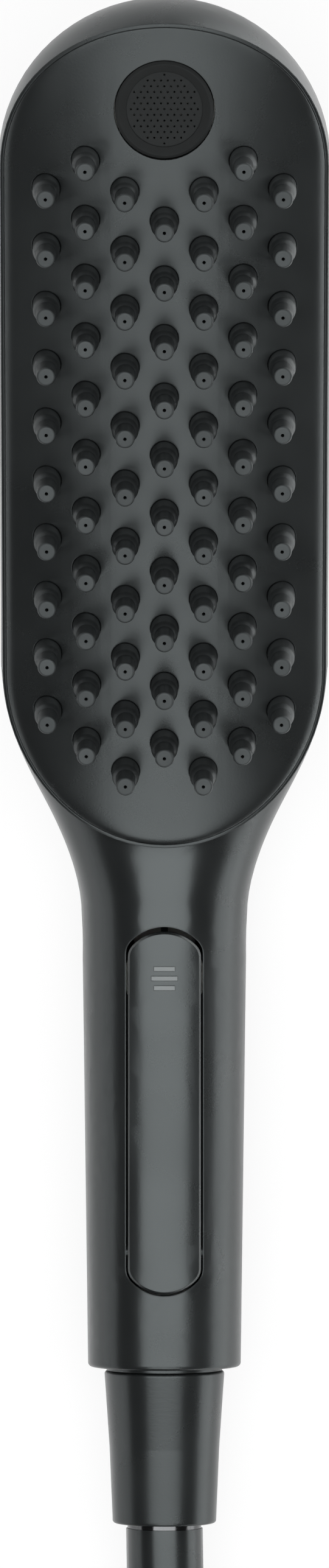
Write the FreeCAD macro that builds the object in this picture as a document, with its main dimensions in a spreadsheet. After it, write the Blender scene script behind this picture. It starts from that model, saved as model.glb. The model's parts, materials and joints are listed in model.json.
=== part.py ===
import FreeCAD, Part
import math
import os
from types import SimpleNamespace

import Sketcher

os.makedirs("parts", exist_ok=True)
doc = FreeCAD.newDocument("bath_sprayer")
V = FreeCAD.Vector

# The handle lies along Y with its hose end at y = 0 and its axis at z = 0 while the pieces are built.
# The head is built in its own frame: x across, y along the face, z out of the face.
# Heights in the head are measured from the middle line of the face, which is z = 0 there.

SIZES = [
    # Casing
    ("handle_length", 103.9, "hose end of the handle to the lower tip of the face"),
    ("handle_end_radius", 15.3, "handle at its hose end"),
    ("handle_radius", 16.35, "handle where the neck starts"),
    ("handle_straight", 80.0, "length of the handle before the neck bends"),
    ("end_wall", 3.0, "wall that closes the handle at the hose end"),
    ("end_rounding", 0.8, "rounded edge at the handle's hose end"),
    ("wall", 2.2, "wall of the casing"),
    ("head_tilt", 15.0, "angle of the face to the handle"),
    ("lip_height", 0.85, "how far the face's lower tip stands above the handle's front"),
    ("head_half_width", 32.5, "half the width of the head at its widest line"),
    ("head_depth", 28.5, "middle of the face to the middle of the back"),
    ("widest_depth", 12.0, "depth of the widest line below the middle of the face"),
    ("wall_arc_radius", 25.0, "bulge of the side wall above its widest line"),
    ("back_fullness", 0.75, "how square the back's corners are, 0.55 is round"),
    ("front_fullness", 0.8, "the same, for the neck's front where it meets the head"),
    ("neck_fall", 0.6, "how far the neck's widest line falls, as a share of its widening"),
    ("neck_climb_start", 0.3, "share of the neck's length where that line starts to climb to the head's"),
    ("neck_climb_end", 0.95, "the same, where it has reached it"),
    ("face_radius", 73.0, "radius of the face across its width"),
    ("lower_end_length", 34.5, "half length of the ellipse that ends the face below"),
    ("cap_place", 135.8, "centre of the round upper end, from the face's lower tip"),
    # Face plate, nubs and tray
    ("rim", 0.7, "casing's edge that shows round the face plate"),
    ("seam", 0.08, "gap round the face plate"),
    ("face_thickness", 2.2, "face plate"),
    ("fit_gap", 0.05, "gap between curved pieces that are seated on each other"),
    ("mat_thickness", 1.5, "nub mat behind the face plate"),
    ("mat_inset", 2.4, "edge of the mat from the outside of the head"),
    ("chamber_height", 3.0, "water space between the mat and the tray"),
    ("tray_thickness", 2.0, "floor of the tray"),
    ("tray_inset", 3.3, "edge of the tray from the outside of the head"),
    ("tray_flange", 4.6, "width of the tray's raised edge"),
    ("nub_pitch_across", 7.68, "nub columns"),
    ("nub_pitch_along", 11.66, "nubs in one column"),
    ("nub_first", 15.75, "lowest nub row from the face's tip"),
    ("nub_length", 12.4, "nub above the face"),
    ("nub_root_radius", 2.7, "nub at the face"),
    ("nub_shoulder", 4.8, "start of the nub's round shoulder above the face"),
    ("nub_shoulder_height", 1.6, "the shoulder"),
    ("nub_taper", 0.07, "how much narrower the nub gets up to its shoulder, and again up to its tip"),
    ("nub_tip_radius", 1.95, "nub above its shoulder"),
    ("nub_rounding", 0.5, "rounding of the tip"),
    ("nub_hole_gap", 0.12, "gap round each nub in the face plate"),
    ("jet_radius", 0.32, "jet hole in the nub's tip"),
    ("jet_depth", 1.6, "length of the jet hole"),
    ("nub_bore_radius", 1.15, "water bore of the nub"),
    ("screw_inset", 5.3, "tray screws from the outside of the head"),
    ("screw_radius", 1.1, "small self-tapping screw"),
    ("screw_head_radius", 1.7, "its head"),
    ("screw_head_height", 1.3, "its head"),
    ("screw_bite", 1.3, "how far a tray screw goes into the face plate"),
    ("screw_length", 4.6, "tray screw below its head"),
    ("screw_head_room", 0.2, "gap round a screw's head"),
    ("screw_cross_width", 0.6, "arms of the cross in the screw's head"),
    ("screw_cross_reach", 1.2, "half length of those arms"),
    # Fine-spray outlet
    ("spray_place", 148.3, "centre of the round outlet from the face's lower tip"),
    ("ring_radius", 9.6, "outside of the outlet's ring, which is screwed into the cup"),
    ("ring_gap", 0.2, "gap round the ring in the face plate"),
    ("ring_crest_radius", 8.95, "highest line of the ring"),
    ("ring_mouth_radius", 7.4, "opening of the ring"),
    ("ring_sink", 0.15, "ring's crest below the middle of the face"),
    ("ring_bevel", 0.5, "fall of the ring from its crest to its outside"),
    ("ring_lip", 0.25, "edge of the ring's opening above the screen"),
    ("ring_depth", 5.2, "bottom of the ring below the face"),
    ("screen_radius", 8.4, "spray screen"),
    ("screen_recess", 1.15, "screen below the ring's crest"),
    ("screen_thickness", 0.9, "spray screen"),
    ("screen_hole_radius", 0.18, "fine holes"),
    ("screen_hole_pitch", 1.3, "fine holes"),
    ("cup_collar_radius", 11.3, "cup's collar behind the face plate"),
    ("cup_radius", 9.5, "cup behind the collar"),
    ("cup_bore_radius", 7.5, "inside of the cup"),
    ("cup_depth", 18.0, "bottom of the cup below the face"),
    ("cup_floor", 1.5, "floor of the cup"),
    ("well_wall", 1.5, "tray's wall round the cup"),
    ("seal_thickness", 0.8, "seal below the screen"),
    ("seal_lap", 0.3, "how far the seal stands into the cup's bore"),
    # Water tubes
    ("feed_spigot_radius", 2.3, "spigots of the two head tubes"),
    ("feed_bore_radius", 1.6, "bore of those spigots"),
    ("feed_wall", 0.85, "wall of the two head tubes"),
    ("feed_offset", 3.9, "head tubes beside the middle"),
    ("feed_spigot_length", 5.0, "length that a tube is pushed on at its head end"),
    ("outlet_length", 2.4, "valve's outlet spigots, no longer than the tubes are straight there"),
    ("jet_line_depth", 12.5, "main tube below the face where it meets the tray"),
    ("jet_line_place", 18.0, "start of the tray's inlet block from the face's tip"),
    ("jet_block_length", 12.0, "tray's inlet block"),
    ("spray_line_depth", 14.2, "fine-spray tube below the face"),
    ("spigot_block_wall", 1.2, "tray's inlet block round its bore"),
    ("tube_end_gap", 0.3, "gap between a tube's end and the wall its spigot stands on"),
    ("jet_lead", 4.0, "straight start of the main tube"),
    ("jet_rise", 12.4, "straight end of the main tube"),
    ("spray_lead", 4.0, "straight start of the fine-spray tube"),
    ("spray_bend", 2.0, "its bend into the head, from the face's tip"),
    ("spray_turn", 33.2, "where it turns to the middle, before its end"),
    ("spray_straight", 16.2, "its straight end"),
    # Button and its hinge
    ("slot_half_width", 7.65, "button window"),
    ("slot_end", 5.45, "depth of the window's broad round ends"),
    ("slot_corner", 3.8, "radius of their corners"),
    ("slot_low", 14.9, "lower end of the window from the hose end"),
    ("slot_high", 88.2, "upper end of the window"),
    ("button_gap", 0.35, "gap at the button's sides and lower end"),
    ("button_top_gap", 0.95, "gap above the button, for its swing"),
    ("button_proud", 0.35, "button above the handle's surface"),
    ("button_roof", 2.0, "thickness of the button's roof"),
    ("button_skirt", 1.6, "thickness of the button's skirt"),
    ("skirt_level", 9.7, "bottom of the skirt above the handle's axis, over the valve cap when pressed"),
    ("button_bevel", 0.45, "bevel along the button's edge"),
    ("pin_place", 23.5, "hinge pin from the hose end"),
    ("pin_level", 10.2, "hinge pin above the handle's axis"),
    ("pin_radius", 1.25, "hinge pin"),
    ("pin_half_length", 9.5, "hinge pin, its ends held in the casing's wall"),
    ("running_gap", 0.06, "radial clearance of turning and sliding fits"),
    ("lug_radius", 2.6, "button's lug round the pin"),
    ("press_angle", 2.2, "swing of the button"),
    ("boss_wall", 0.6, "button's boss beyond the plunger"),
    ("bar_pitch", 1.9, "raised bars on the button, to feel for"),
    ("bar_width", 0.9, "the bars"),
    ("bar_half_length", 2.6, "the middle bar"),
    ("bar_step", 0.5, "how much shorter the outer bars are at each end"),
    ("bar_height", 0.25, "the bars above the button"),
    # Selector valve
    ("valve_place", 78.0, "valve's axis from the hose end"),
    ("valve_radius", 8.1, "valve housing"),
    ("valve_bore_radius", 6.3, "inside of the housing"),
    ("valve_bottom", -11.4, "bottom of the housing"),
    ("valve_floor", -6.5, "floor inside the housing"),
    ("valve_top", 4.3, "top of the housing"),
    ("seat_thickness", 0.9, "rubber seat on the floor"),
    ("rotor_thickness", 2.5, "rotor on the seat"),
    ("rotor_radius", 6.2, "rotor"),
    ("port_offset", 3.9, "ports from the valve's axis"),
    ("port_radius", 1.6, "ports"),
    ("cap_thickness", 2.5, "valve cap"),
    ("cap_spigot", 1.0, "cap's rim inside the housing"),
    ("cap_rim", 0.9, "width of that rim"),
    ("plunger_radius", 2.5, "plunger"),
    ("plunger_top", 10.7, "top of the plunger"),
    ("press_gap", 0.3, "gap between the button's boss and the plunger"),
    ("collar_radius", 4.6, "plunger's collar"),
    ("collar_level", 2.3, "underside of the collar"),
    ("collar_thickness", 0.8, "plunger's collar"),
    ("stem_radius", 1.4, "plunger below its collar"),
    ("stem_bottom", -2.5, "lower end of the plunger"),
    ("plunger_bevel", 0.4, "edge of the plunger's top"),
    ("tooth_width", 1.6, "teeth on the rotor"),
    ("tooth_depth", 1.3, "teeth, across the rotor"),
    ("tooth_height", 0.7, "teeth above the rotor"),
    ("spring_radius", 3.5, "plunger spring, to the middle of its wire"),
    ("spring_wire", 0.28, "radius of its wire"),
    ("spring_turns", 3.0, "turns of the plunger spring"),
    ("seal_section", 1.0, "height of the plunger's seal"),
    ("seal_depth", 0.6, "depth of the seal's groove"),
    ("ear_low", 62.5, "lower end of the valve's fixing ear"),
    ("ear_high", 71.5, "upper end of the ear"),
    ("ear_half_width", 7.0, "ear"),
    ("ear_level", -9.4, "underside of the ear"),
    ("ear_thickness", 2.0, "ear"),
    ("post_place", 65.5, "screw posts from the hose end"),
    ("post_offset", 4.4, "screw posts beside the middle"),
    ("post_radius", 2.4, "screw posts"),
    ("housing_screw_length", 5.0, "screws into the posts"),
    # Inlet
    ("inlet_spigot_radius", 4.2, "spigots of the inlet tube"),
    ("inlet_spigot_bore", 3.0, "bore of those spigots"),
    ("water_tube_wall", 1.15, "inlet tube"),
    ("water_tube_overlap", 5.0, "length that the inlet tube is pushed on"),
    ("thread_radius", 10.4, "half-inch pipe thread, outside"),
    ("thread_length", 8.9, "length of the thread"),
    ("collar_out", 11.6, "collar against the handle's end"),
    ("collar_width", 0.75, "collar that shows as a thin ring"),
    ("thread_bevel", 0.5, "start of the thread"),
    ("shank_radius", 9.3, "fitting inside the handle"),
    ("shank_length", 9.0, "fitting inside the handle"),
    ("lock_nut_flats", 22.0, "lock nut across flats"),
    ("lock_nut_height", 4.0, "lock nut"),
    ("inlet_seal_width", 1.6, "seal between the lock nut and the end wall"),
    ("inlet_seal_thickness", 1.0, "the same seal"),
    ("cartridge_radius", 6.5, "check valve in the fitting"),
    ("cartridge_low", -7.2, "hose side of the check valve"),
    ("cartridge_high", 5.9, "handle side of the check valve"),
    ("cartridge_bore", 5.2, "inside of the check valve"),
    ("cartridge_seat", 1.4, "thickness of its end walls"),
    ("seat_hole", 3.4, "opening of its seat"),
    ("drain_offset", 3.43, "openings of its other end wall from the axis"),
    ("poppet_radius", 4.6, "poppet"),
    ("poppet_thickness", 1.3, "poppet"),
    ("poppet_stem", 1.0, "stem of the poppet"),
    ("poppet_reach", 5.5, "tip of the stem"),
    ("check_spring_radius", 2.2, "check spring, to the middle of its wire"),
    ("check_spring_wire", 0.22, "radius of its wire"),
    ("check_spring_turns", 5.0, "turns of the check spring"),
    ("limiter_thickness", 2.0, "flow limiter"),
    ("limiter_gap", 0.1, "gap between the limiter and the check valve"),
    ("limiter_hole", 1.2, "middle hole of the limiter"),
    ("limiter_jet", 0.75, "small holes round it"),
    ("limiter_jet_offset", 3.45, "those holes from the axis"),
    # Hose ends
    ("washer_thickness", 2.0, "hose washer"),
    ("washer_radius", 9.6, "hose washer"),
    ("washer_bore", 5.5, "hose washer"),
    ("flange_radius", 9.4, "flange of the hose's metal end"),
    ("flange_thickness", 2.05, "the flange"),
    ("tail_radius", 7.4, "the metal end, seen as a thin ring"),
    ("tail_bore", 4.2, "the metal end"),
    ("tail_reach", 32.4, "start of the hose, from the handle's end"),
    ("barb_length", 17.0, "part of the metal end inside the hose"),
    ("nut_top", 0.85, "upper end of the nut, from the handle's end"),
    ("nut_length", 30.5, "conical nut"),
    ("nut_wide_radius", 12.0, "nut at its upper end"),
    ("nut_middle_radius", 11.0, "nut at the middle"),
    ("nut_narrow_radius", 10.38, "nut near its lower end"),
    ("nut_rounding", 0.6, "edges of the nut"),
    ("nut_thread_gap", 0.2, "clearance of the nut's thread"),
    ("nut_swivel_gap", 0.35, "nut round the metal end"),
    ("nut_shoulder_gap", 0.3, "nut behind the metal end's flange"),
    # Hose
    ("hose_radius", 7.67, "outside of the hose"),
    ("hose_bore", 5.0, "bore of the hose"),
    ("coil_side", 62.0, "coil's centre beside the handle's axis"),
    ("coil_mean_radius", 76.7, "coil at the middle of its turns, five hose diameters"),
    ("coil_gap", 0.6, "gap between neighbouring turns"),
    ("hose_length", 1250.0, "hose from one metal end to the other"),
    ("far_straight", 34.0, "straight end of the hose, so that its nut clears the turn beside it"),
    ("far_sleeve", 4.0, "far metal end between the hose and its flange"),
    ("far_flange", 2.0, "flange of the far metal end"),
    ("far_thread", 9.0, "thread of the far nut"),
    ("far_nut_start", 0.6, "gap between the hose's end and the far nut"),
    ("far_nut_bevel", 0.5, "turned corners of the far nut"),
    ("far_nut_relief", 0.5, "far nut round its washer"),
    ("far_nut_lift", 0.3, "far nut above the turns below it"),
]

sheet = doc.addObject("Spreadsheet::Sheet", "Sizes")
for row, (name, value, note) in enumerate(SIZES, start=1):
    sheet.set(f"A{row}", name)
    sheet.set(f"B{row}", str(value))
    sheet.set(f"C{row}", note)
    sheet.setAlias(f"B{row}", name)
doc.recompute()


class Size(float):
    """A number that remembers its formula in the sheet, so that a feature can be bound to it."""

    def __new__(cls, value, formula):
        made = super().__new__(cls, value)
        made.formula = formula
        return made

    def __add__(self, other):
        return Size(float(self) + other, f"({self.formula} + {formula(other)})")

    def __radd__(self, other):
        return Size(other + float(self), f"({formula(other)} + {self.formula})")

    def __sub__(self, other):
        return Size(float(self) - other, f"({self.formula} - {formula(other)})")

    def __rsub__(self, other):
        return Size(other - float(self), f"({formula(other)} - {self.formula})")

    def __mul__(self, other):
        return Size(float(self) * other, f"({self.formula} * {formula(other)})")

    __rmul__ = __mul__

    def __truediv__(self, other):
        return Size(float(self) / other, f"({self.formula} / {formula(other)})")

    def __neg__(self):
        return Size(-float(self), f"(0 - {self.formula})")


def formula(value):
    return value.formula if isinstance(value, Size) else repr(float(value))


s = SimpleNamespace(**{name: Size(sheet.get(name), f"Sizes.{name}") for name, _, _ in SIZES})

pieces = {}
FULL_TURN = 360
# Far enough past every surface that a cut goes through
PAST = 40


def bind(thing, **values):
    """Tie an object's properties to the sheet."""
    for name, value in values.items():
        thing.setExpression(name, formula(value))


def keep(label, made):
    made.Label = label
    pieces[label] = made
    return made


def feature(label, shape, place=None):
    """A sub-part whose shape is made by the functions below from the sheet's sizes."""
    made = doc.addObject("Part::Feature", label)
    made.Shape = shape
    if place:
        made.Placement = place
    return keep(label, made)


def origin_plane(body, role):
    return next(f for f in body.Origin.OriginFeatures if f.Role == role)


def profile_sketch(body, name, plane, corners):
    """A closed outline of straight lines, each corner bound to the sheet."""
    sketch = body.newObject("Sketcher::SketchObject", name)
    sketch.AttachmentSupport = [(origin_plane(body, plane), "")]
    sketch.MapMode = "FlatFace"
    points = [V(float(across), float(along), 0) for across, along in corners]
    for i, point in enumerate(points):
        sketch.addGeometry(Part.LineSegment(point, points[(i + 1) % len(points)]), False)
    for i, (across, along) in enumerate(corners):
        sketch.addConstraint(Sketcher.Constraint("Coincident", i, 2, (i + 1) % len(corners), 1))
        if float(across) == 0:
            sketch.addConstraint(Sketcher.Constraint("PointOnObject", i, 1, -2))
        else:
            held = sketch.addConstraint(Sketcher.Constraint("DistanceX", -1, 1, i, 1, float(across)))
            sketch.setExpression(f"Constraints[{held}]", formula(across))
        held = sketch.addConstraint(Sketcher.Constraint("DistanceY", -1, 1, i, 1, float(along)))
        sketch.setExpression(f"Constraints[{held}]", formula(along))
    return sketch


def turned(label, corners, plane="XY_Plane", place=None):
    """A body turned about the second axis of its plane; each corner is a radius and a place along it."""
    body = doc.addObject("PartDesign::Body", label)
    sketch = profile_sketch(body, label + "_profile", plane, corners)
    turn = body.newObject("PartDesign::Revolution", label + "_turn")
    turn.Profile = sketch
    turn.ReferenceAxis = (sketch, ["V_Axis"])
    turn.Angle = FULL_TURN
    if place:
        body.Placement = place
    return keep(label, body)


def round_hole(body, name, plane, aside, radius, copies):
    """Round holes cut through the body, both ways from an origin plane, in a ring round its axis."""
    doc.recompute()
    before = body.Shape.Volume
    sketch = body.newObject("Sketcher::SketchObject", name + "_circle")
    sketch.AttachmentSupport = [(origin_plane(body, plane), "")]
    sketch.MapMode = "FlatFace"
    sketch.addGeometry(Part.Circle(V(float(aside), 0, 0), V(0, 0, 1), float(radius)), False)
    sketch.addConstraint(Sketcher.Constraint("PointOnObject", 0, 3, -1))
    held = sketch.addConstraint(Sketcher.Constraint("DistanceX", -1, 1, 0, 3, float(aside)))
    sketch.setExpression(f"Constraints[{held}]", formula(aside))
    held = sketch.addConstraint(Sketcher.Constraint("Radius", 0, float(radius)))
    sketch.setExpression(f"Constraints[{held}]", formula(radius))
    pocket = body.newObject("PartDesign::Pocket", name)
    pocket.Profile = sketch
    pocket.Type = 1
    pocket.Midplane = True
    doc.recompute()
    pattern = body.newObject("PartDesign::PolarPattern", name + "_pattern")
    pattern.Originals = [pocket]
    pattern.Axis = (sketch, ["N_Axis"])
    pattern.Angle = FULL_TURN
    pattern.Occurrences = copies
    body.Tip = pattern
    doc.recompute()
    if body.Shape.Volume >= before:
        raise ValueError(f"{name} cuts nothing")


# Plain shapes


def rod(radius, start, along, length):
    return Part.makeCylinder(float(radius), float(length), start, along)


def tube(outside, inside, start, along, length):
    return rod(outside, start, along, length).cut(rod(inside, start, along, length))


def block(x, y, z):
    """A box between three pairs of limits."""
    return Part.makeBox(
        float(x[1] - x[0]), float(y[1] - y[0]), float(z[1] - z[0]), V(float(x[0]), float(y[0]), float(z[0]))
    )


def hexagon(flats, low, high):
    """A six-sided block along Y between two places, with corners at its sides."""
    corner = flats / 2 / math.cos(math.pi / 6)
    points = []
    for i in range(6):
        angle = i * math.pi / 3
        points.append(V(corner * math.cos(angle), low, corner * math.sin(angle)))
    return turned_face(points).extrude(V(0, high - low, 0))


def curve(*poles):
    made = Part.BezierCurve()
    made.setPoles(list(poles))
    return made.toShape()


def turned_face(points):
    """A closed face of straight lines and of arcs, where a point stands in a list with the arc's middle."""
    edges = []
    here = points[0]
    for item in points[1:] + [points[0]]:
        if isinstance(item, list):
            edges.append(Part.Arc(here, item[0], item[1]).toShape())
            here = item[1]
        elif not item.isEqual(here, 1e-7):
            edges.append(Part.LineSegment(here, item).toShape())
            here = item
    return Part.Face(Part.Wire(edges))


def round_corner(enter, corner, leave):
    """The arc between two points whose tangents meet at the corner, equally far from both."""
    weight = (leave - enter).Length / ((corner - enter).Length + (leave - corner).Length)
    middle = (enter + leave + corner * (2 * weight)) * (1 / (2 + 2 * weight))
    return Part.Arc(enter, middle, leave)


def run_with_bends(points, share=0.45):
    """Straight runs joined by tangent arcs, and the radii of the arcs."""
    edges, radii = [], []
    here = points[0]
    for before, corner, after in zip(points, points[1:], points[2:]):
        reach = share * min((corner - before).Length, (after - corner).Length)
        enter = corner + (before - corner).normalize() * reach
        leave = corner + (after - corner).normalize() * reach
        arc = round_corner(enter, corner, leave).toShape()
        edges += [Part.LineSegment(here, enter).toShape(), arc]
        radii.append(arc.Curve.Radius)
        here = leave
    edges.append(Part.LineSegment(here, points[-1]).toShape())
    return Part.Wire(edges), radii


def winding(points, tangents):
    """A smooth line through the points: between two of them, a pair of tangent arcs."""
    edges = []
    for p, q, a, b in zip(points, points[1:], tangents, tangents[1:]):
        span, both = q - p, a + b
        square = 2 * (1 - a.dot(b))
        drive = span.dot(both)
        reach = (-drive + math.sqrt(drive ** 2 + square * span.dot(span))) / square
        corner_p, corner_q = p + a * reach, q - b * reach
        joint = (corner_p + corner_q) * 0.5
        edges.append(round_corner(p, corner_p, joint).toShape())
        edges.append(round_corner(joint, corner_q, q).toShape())
    return edges


def swept(path, radius):
    """A round rod along a wire."""
    first = path.OrderedEdges[0]
    ends = (first.FirstParameter, first.LastParameter)
    begin = ends[1] if first.Orientation == "Reversed" else ends[0]
    ring = Part.Circle(first.valueAt(begin), first.tangentAt(begin), float(radius))
    shell = Part.BRepOffsetAPI.MakePipeShell(path)
    shell.add(Part.Wire([ring.toShape()]))
    shell.build()
    shell.makeSolid()
    return shell.shape()


def pipe(path, outside, inside):
    return swept(path, outside).cut(swept(path, inside))


def coil_spring(radius, wire, turns, low, high):
    """A spring round Z between two levels, its axis at the origin."""
    quarters = int(4 * turns)
    rise = (high - low - 2 * wire) / quarters
    slope = rise / (radius * math.pi / 2)
    points, tangents = [], []
    for i in range(quarters + 1):
        angle = i * math.pi / 2
        points.append(V(radius * math.cos(angle), radius * math.sin(angle), low + wire + rise * i))
        tangents.append(V(-math.sin(angle), math.cos(angle), slope).normalize())
    return swept(Part.Wire(winding(points, tangents)), wire)


# Places that several pieces share

FRONT_AXIS = -s.face_radius
HEAD_TILT = FreeCAD.Rotation(V(1, 0, 0), float(s.head_tilt))
FACE_TIP = V(0, float(s.handle_length), float(s.handle_radius + s.lip_height))
HEAD = FreeCAD.Placement(FACE_TIP, HEAD_TILT)
ALONG_Y, ALONG_Z, ACROSS = V(0, 1, 0), V(0, 0, 1), V(1, 0, 0)

plate_back = s.face_radius - s.face_thickness
mat_front = plate_back - s.fit_gap
mat_back = mat_front - s.mat_thickness
tray_top = mat_back - s.fit_gap
tray_floor = tray_top - s.chamber_height
tray_bottom = tray_floor - s.tray_thickness
arc_centre = s.head_half_width - s.wall_arc_radius
rotor_top = s.valve_floor + s.seat_thickness + s.rotor_thickness
ear_top = s.ear_level + s.ear_thickness
press_arm = s.valve_place - s.pin_place
plunger_travel = press_arm * math.radians(s.press_angle)
floor_level = s.hose_radius - s.handle_radius
hose_width = s.hose_radius * 2


def front_at(across, radius=s.face_radius):
    """Height of a surface concentric with the face's front, at a distance from the middle."""
    return float(FRONT_AXIS) + math.sqrt(radius ** 2 - across ** 2)


def front_half_width(inset):
    """Half width where the side wall, moved in by the inset, meets the face's front."""
    wall_radius = s.wall_arc_radius - inset
    centre = V(arc_centre, s.face_radius - s.widest_depth, 0)
    between = centre.Length
    along = (s.face_radius ** 2 - wall_radius ** 2 + between ** 2) / (2 * between)
    aside = math.sqrt(s.face_radius ** 2 - along ** 2)
    out = centre.normalize()
    return out.x * along + out.y * aside


# Forms of the casing


def front_round(radius, low=-20, length=220):
    """Everything below a cylinder that is concentric with the face's front, in the head's frame."""
    return rod(radius, V(0, low, FRONT_AXIS), ALONG_Y, length)


def head_section(inset, whole=True):
    """The head across, in the plane at right angles to its length, or only its right half."""
    half = float(s.head_half_width - inset)
    level = -float(s.widest_depth)
    bottom = -float(s.head_depth - inset)
    bulge = s.wall_arc_radius - inset
    full = float(s.back_fullness)

    def on_wall(degrees, side=1):
        angle = math.radians(degrees)
        return V(side * (arc_centre + bulge * math.cos(angle)), 0, level + bulge * math.sin(angle))

    side_edges = []
    for side in (1, -1) if whole else (1,):
        widest = V(side * half, 0, level)
        shoulder = V(side * half, 0, level + full * (bottom - level))
        heel = V(side * half * (1 - full), 0, bottom)
        side_edges.append(Part.Arc(on_wall(65, side), on_wall(32, side), widest).toShape())
        side_edges.append(curve(widest, shoulder, heel, V(0, 0, bottom)))
    crown = on_wall(65)
    if whole:
        side_edges.append(Part.LineSegment(crown, on_wall(65, -1)).toShape())
    else:
        side_edges.append(Part.LineSegment(crown, V(0, 0, crown.z)).toShape())
        side_edges.append(Part.LineSegment(V(0, 0, crown.z), V(0, 0, bottom)).toShape())
    return Part.Face(Part.Wire(Part.__sortEdges__(side_edges)))


def head_form(inset):
    """Straight part and round upper end of the head, with all walls moved in by the inset."""
    straight = head_section(inset)
    straight.translate(V(0, s.lower_end_length, 0))
    straight = straight.extrude(V(0, s.cap_place - s.lower_end_length, 0))
    cap = head_section(inset, whole=False)
    cap.translate(V(0, s.cap_place, 0))
    cap = cap.revolve(V(0, s.cap_place, 0), ALONG_Z, FULL_TURN / 2)
    return straight.fuse(cap)


def pod_form(inset, bottom):
    """Elliptic lower end of the face, straight down to a level."""
    half, length = front_half_width(inset), float(s.lower_end_length - inset)
    place = V(0, s.lower_end_length, bottom)
    reaches = [V(0, -length, 0), V(half, 0, 0)]
    long, short = reaches if length > half else reversed(reaches)
    oval = Part.Ellipse(long + place, short + place, place)
    whole = Part.Face(Part.Wire([oval.toShape()])).extrude(V(0, 0, 5 - bottom))
    lower = block((-60, 60), (-5, s.lower_end_length), (bottom - 1, 6))
    return whole.common(lower)


def face_form(inset, outer, inner=None, bottom=-22):
    """The whole head down to the face's lower tip, between two surfaces concentric with the front."""
    form = head_form(inset).fuse(pod_form(inset, bottom)).common(front_round(outer))
    return form.cut(front_round(inner)) if inner else form


def in_handle(shape):
    """A shape of the head's frame, moved to the handle's."""
    moved = shape.copy()
    moved.transformShape(HEAD.toMatrix())
    return moved


# Share of the way along the neck, and share of its widening, read from the outline
NECK = ((0, 0), (0.055, 0.001), (0.11, 0.003), (0.17, 0.012), (0.232, 0.03), (0.348, 0.13), (0.464, 0.294),
        (0.582, 0.511), (0.697, 0.728), (0.826, 0.907), (0.912, 0.969), (1, 1))
ROUND = 4 / 3 * (math.sqrt(2) - 1)
# The neck ends a hair inside the head, so that the two share no surface
NECK_STEP = 0.03


def ring_of_curves(centre, up, half, fore, aft, fore_corner=(ROUND, ROUND), aft_corner=(ROUND, ROUND)):
    """A closed outline of four curves round a centre: its half width, its two depths and, for each corner,
    how far the curve keeps to the side and how far out it meets the front or back."""
    edges = []
    for reach, (shoulder, heel) in ((fore, fore_corner), (-aft, aft_corner)):
        for side in (1, -1) if reach > 0 else (-1, 1):
            rim = V(side * half, 0, 0)
            four = [
                centre + rim,
                centre + rim + up * (reach * shoulder),
                centre + rim * heel + up * reach,
                centre + up * reach,
            ]
            edges.append(curve(*(four if (side > 0) == (reach > 0) else four[::-1])))
    return Part.Wire(edges)


def soft_max(a, b, blend):
    return (a + b + math.sqrt((a - b) ** 2 + blend ** 2)) / 2


def eased(share):
    share = min(1.0, max(0.0, share))
    return share * share * (3 - 2 * share)


def neck_section(along, widening, inset):
    """One section of the neck, turned from the handle's direction to the head's as it goes up."""
    top = HEAD.multVec(V(0, s.lower_end_length, -s.widest_depth))
    slope = math.tan(math.radians(s.head_tilt))
    y = s.handle_straight + along * (top.y - s.handle_straight)
    tilt = math.radians(s.head_tilt) * eased(along * 1.7)
    wider = widening * (s.head_half_width - s.handle_radius)
    head_line = top.z - slope * (top.y - y)
    climb = eased((along - s.neck_climb_start) / (s.neck_climb_end - s.neck_climb_start))
    z = head_line * climb - s.neck_fall * wider * (1 - climb)
    inset = inset + NECK_STEP * along
    half = s.handle_radius + wider - inset
    depth_here = HEAD.inverse().multVec(V(0, y, z)).z
    lean = math.cos(math.radians(s.head_tilt) - tilt)
    front_of_handle = (s.handle_radius - z) / math.cos(tilt)
    front_of_head = (-s.lip_height - depth_here) / lean
    back_of_handle = (s.handle_radius + z) / math.cos(tilt)
    back_of_head = (s.head_depth + depth_here) / lean
    fore = max(front_of_handle, front_of_head) - inset
    aft = -soft_max(-back_of_handle, -back_of_head, 4 * along * (1 - along)) - inset
    corners = []
    for full in (s.front_fullness, s.back_fullness):
        corners.append((ROUND + along * (full - ROUND), ROUND + along * (1 - full - ROUND)))
    up = V(0, -math.sin(tilt), math.cos(tilt))
    return ring_of_curves(V(0, y, z), up, half, fore, aft, *corners)


def neck_form(inset):
    return Part.makeLoft([neck_section(along, wide, inset) for along, wide in NECK], True)


def handle_radius_at(place):
    return s.handle_end_radius + (s.handle_radius - s.handle_end_radius) / s.handle_straight * place


def handle_form(inset, start):
    """The straight handle up to the neck, its ends round like the neck's first section."""
    ends = []
    for place in (start, s.handle_straight):
        radius = handle_radius_at(place) - inset
        ends.append(ring_of_curves(V(0, place, 0), ALONG_Z, radius, radius, radius))
    return Part.makeLoft(ends, True, True)


def handle_skin(outward, end=95):
    """A cone round the handle's axis, the handle's surface moved outward."""
    low, high = handle_radius_at(0) + outward, handle_radius_at(end) + outward
    cone = Part.makeCone(float(low), float(high), float(end), V(0, 0, 0), ALONG_Y)
    return cone.rotated(V(0, 0, 0), ALONG_Y, FULL_TURN / 2)


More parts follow.
